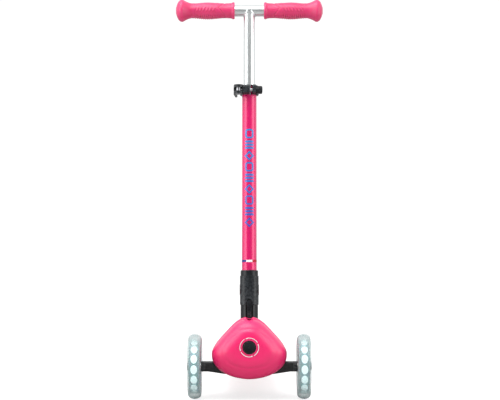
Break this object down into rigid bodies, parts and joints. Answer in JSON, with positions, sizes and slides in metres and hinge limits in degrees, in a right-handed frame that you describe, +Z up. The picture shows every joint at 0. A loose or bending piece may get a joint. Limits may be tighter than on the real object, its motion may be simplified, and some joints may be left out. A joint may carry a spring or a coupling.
{
  "type": "kick scooter",
  "caption": "Child's three-wheeled folding kick scooter with a T-bar, lean steering, light-up front wheels and a fender brake.",
  "frame": {"origin": "on the floor, under the middle of the whole scooter's box", "axes": "+Z up, -Y towards the front wheels and the nose, +X across towards the clamp nut"},
  "size_m": [0.283, 0.5264, 0.757],
  "materials": {
    "pink_plastic": "satin-gloss moulded plastic",
    "pink_anodised": "satin pink coating on aluminium tube",
    "silver_aluminium": "satin anodised",
    "grip_rubber": "matt soft rubber",
    "pad_rubber": "matt, dotted",
    "black_plastic": "fine grain moulded",
    "black_metal": "satin black coating",
    "white_plastic": "printed plastic ring",
    "decal_blue": "printed film",
    "decal_band": "printed film in three colours",
    "clear_tyre": "translucent cast polyurethane",
    "wheel_core": "pale translucent moulding",
    "circuit_board": "white solder mask",
    "steel": "zinc plated"
  },
  "bodies": {
    "deck": {"deck_board": "pink_plastic", "deck_grip_pad": "pad_rubber", "nose_cover": "pink_plastic", "nose_screws": "steel", "nose_ring": "white_plastic", "lock_guide": "black_plastic", "hinge_base": "black_plastic", "hinge_base_screws": "steel", "kingpin": "steel", "kingpin_nut": "steel", "steering_springs": "steel", "rear_axle": "steel", "rear_axle_nut": "steel", "rear_spacers": "silver_aluminium", "brake_pin": "steel", "brake_spring": "steel"},
    "axle": {"axle_beam": "black_metal", "beam_bush": "black_plastic", "wheel_spacers": "silver_aluminium", "axle_bolts": "steel"},
    "wheel_left": {"tyre_left": "clear_tyre", "wheel_core_left": "wheel_core", "led_board_left": "circuit_board", "bearings_left": "steel", "hub_cap_left": "black_plastic"},
    "wheel_right": {"tyre_right": "clear_tyre", "wheel_core_right": "wheel_core", "led_board_right": "circuit_board", "bearings_right": "steel", "hub_cap_right": "black_plastic"},
    "wheel_rear": {"rear_tyre": "clear_tyre", "rear_core": "wheel_core", "rear_bearings": "steel"},
    "stem": {"hinge_sleeve": "black_plastic", "sleeve_screws": "steel", "hinge_pin": "black_metal", "lower_tube": "pink_anodised", "tube_bush": "black_plastic", "colour_band": "decal_band", "stem_graphic": "decal_blue", "clamp_collar": "black_plastic", "clamp_bolt": "steel", "clamp_barrel": "steel", "cam_washer": "black_plastic", "clamp_nut": "black_plastic"},
    "t_bar": {"upper_tube": "silver_aluminium", "crossbar": "silver_aluminium", "weld_bead": "silver_aluminium", "tube_end_bush": "black_plastic", "grip_left": "grip_rubber", "grip_right": "grip_rubber"},
    "clamp_lever": {"clamp_lever": "black_plastic"},
    "height_button": {"height_button": "steel", "height_spring": "steel"},
    "fold_button": {"fold_button": "black_plastic", "fold_button_spring": "steel"},
    "lock_button": {"lock_button": "black_plastic", "lock_spring": "steel"},
    "brake": {"brake_fender": "black_metal"}
  },
  "joints": [
    {"name": "fold", "type": "hinge", "parent": "deck", "child": "stem", "pos_m": [0, -0.16318, 0.2], "axis": [1, 0, 0], "range_deg": [-88, 0]},
    {"name": "height", "type": "slide", "parent": "stem", "child": "t_bar", "axis": [0, 0.0872, 0.9962], "range_m": [-0.1, 0]},
    {"name": "clamp_lever_turn", "type": "hinge", "parent": "stem", "child": "clamp_lever", "pos_m": [-0.02051, -0.15511, 0.58024], "axis": [0, 0.0872, 0.9962], "range_deg": [0, 140]},
    {"name": "height_button_pop", "type": "slide", "parent": "t_bar", "child": "height_button", "axis": [0, 0.9962, -0.0872], "range_m": [0, 0.004], "stiffness_N_per_m": 300},
    {"name": "fold_button_press", "type": "slide", "parent": "deck", "child": "fold_button", "axis": [0, 0.9962, -0.0872], "range_m": [0, 0.004], "stiffness_N_per_m": 1000},
    {"name": "lock_button_press", "type": "slide", "parent": "deck", "child": "lock_button", "axis": [0, 1, 0], "range_m": [0, 0.005], "stiffness_N_per_m": 800},
    {"name": "steer_lean", "type": "hinge", "parent": "deck", "child": "axle", "pos_m": [0, -0.20318, 0.06], "axis": [0, -0.7071, 0.7071], "range_deg": [-9, 9], "stiffness_Nm_per_rad": 25, "deforming": ["steering_springs"]},
    {"name": "wheel_left_spin", "type": "hinge", "parent": "axle", "child": "wheel_left", "pos_m": [-0.1015, -0.20318, 0.06], "axis": [1, 0, 0], "continuous": true},
    {"name": "wheel_right_spin", "type": "hinge", "parent": "axle", "child": "wheel_right", "pos_m": [0.1015, -0.20318, 0.06], "axis": [1, 0, 0], "continuous": true},
    {"name": "wheel_rear_spin", "type": "hinge", "parent": "deck", "child": "wheel_rear", "pos_m": [0, 0.21682, 0.04], "axis": [1, 0, 0], "continuous": true},
    {"name": "brake_press", "type": "hinge", "parent": "deck", "child": "brake", "pos_m": [0, 0.16482, 0.066], "axis": [1, 0, 0], "range_deg": [-4, 0], "stiffness_Nm_per_rad": 2, "springref_deg": 5.73}
  ]
}
